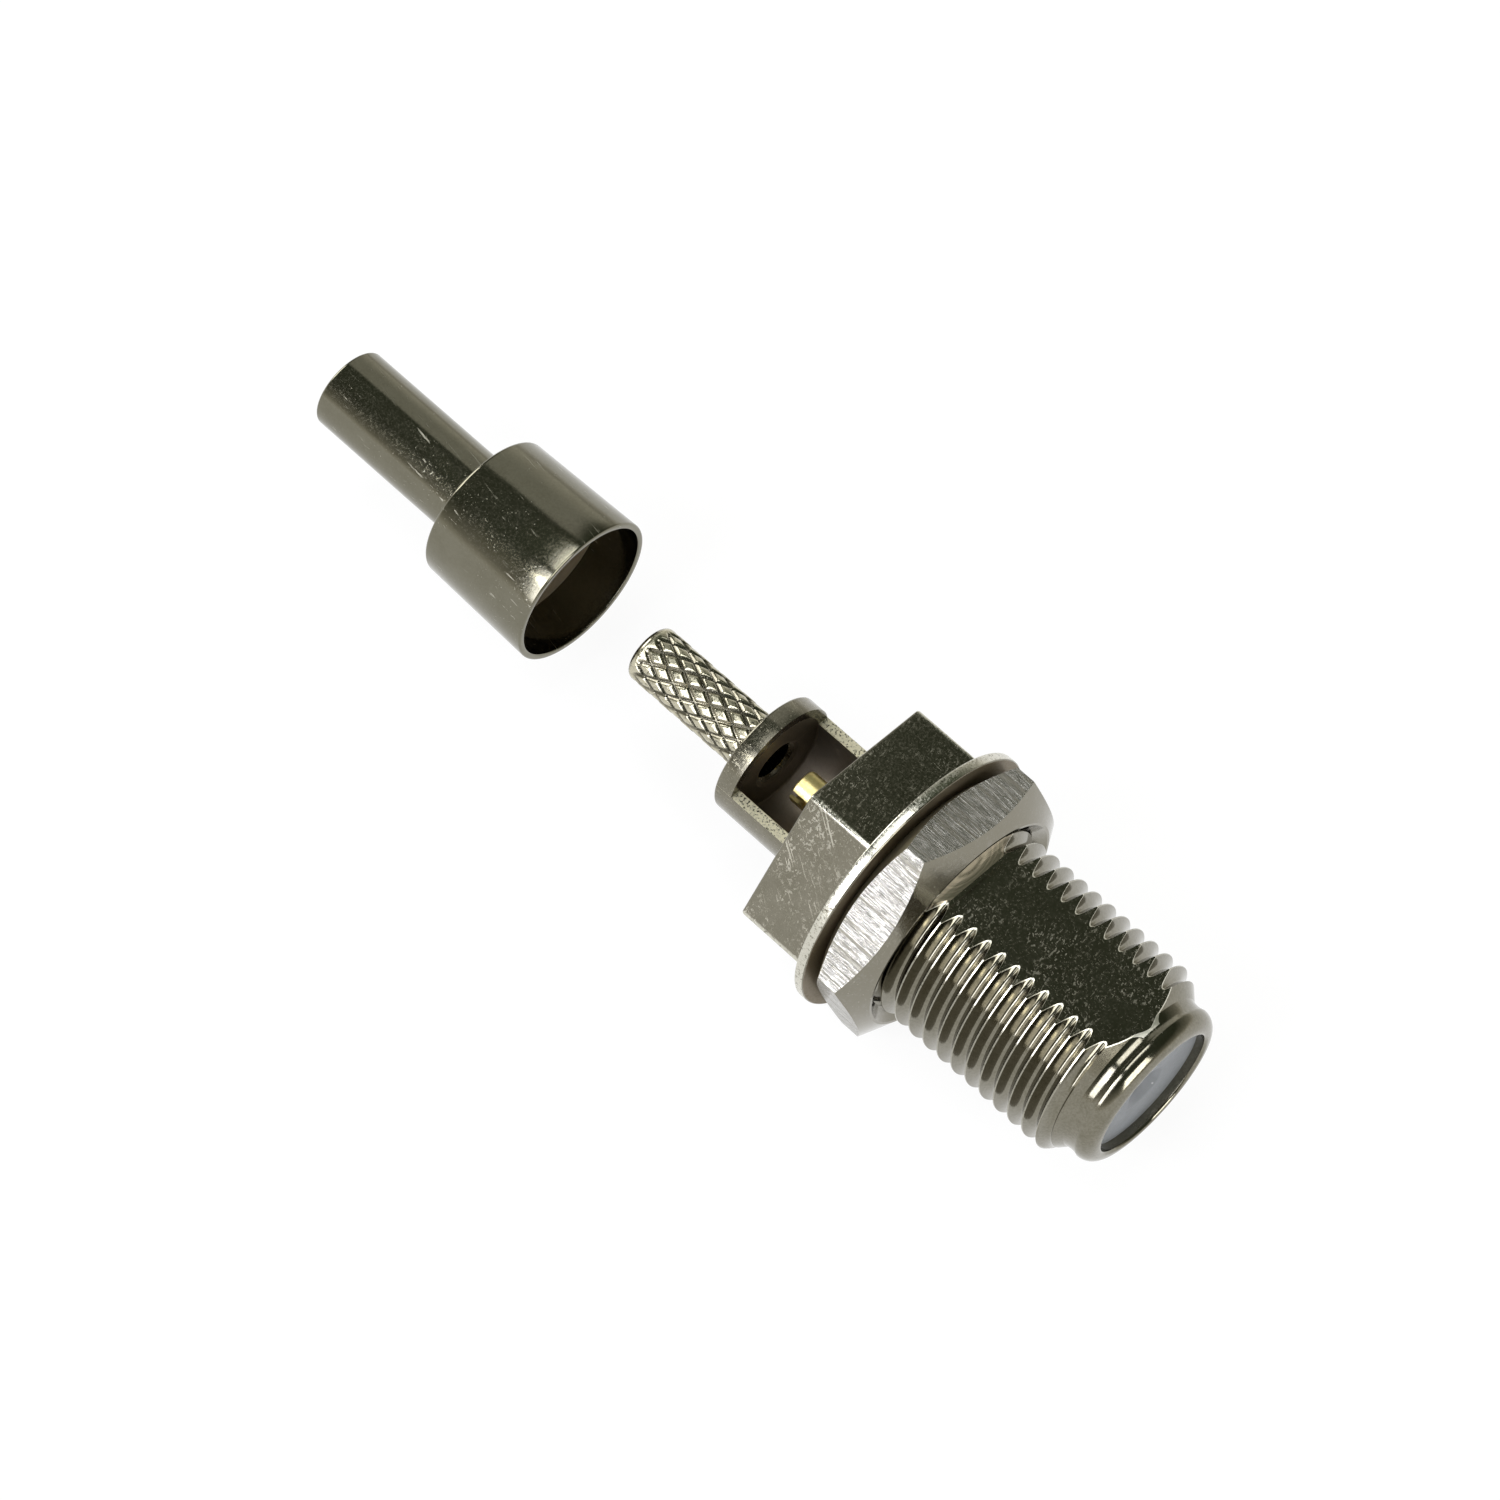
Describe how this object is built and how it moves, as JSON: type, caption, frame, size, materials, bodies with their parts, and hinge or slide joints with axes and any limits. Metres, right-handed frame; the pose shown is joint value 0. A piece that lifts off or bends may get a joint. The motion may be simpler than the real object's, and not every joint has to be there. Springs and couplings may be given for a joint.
{
  "type": "bulkhead f connector jack",
  "caption": "Threaded bulkhead coaxial jack with hex body, panel nut, windowed solder chamber, knurled crimp stem and loose stepped crimp ferrule.",
  "frame": {"origin": "centre of the flange's front face, where the jack seats on a panel", "axes": "+X along the jack's axis towards the mating end, +Z square to one flat of the hexagonal body"},
  "size_m": [0.048, 0.0138, 0.0132],
  "materials": {
    "nickel_body": "nickel plated, machined",
    "nickel_nut": "nickel plated, machined",
    "nickel_tail": "nickel plated, knurled stem",
    "insulator_front": "moulded",
    "insulator_rear": "turned",
    "gold_contact": "gold plated",
    "nickel_ferrule": "nickel plated, satin"
  },
  "bodies": {
    "jack": {"jack_body": "nickel_body", "crimp_tail": "nickel_tail", "front_insulator": "insulator_front", "rear_insulator": "insulator_rear", "centre_contact": "gold_contact"},
    "nut": {"panel_nut": "nickel_nut"},
    "ferrule": {"crimp_ferrule": "nickel_ferrule"}
  },
  "joints": [
    {"name": "nut_travel", "type": "slide", "parent": "jack", "child": "nut", "axis": [1, 0, 0], "range_m": [0, 0.00794]},
    {"name": "ferrule_slide", "type": "slide", "parent": "jack", "child": "ferrule", "axis": [1, 0, 0], "range_m": [0, 0.01585]}
  ]
}
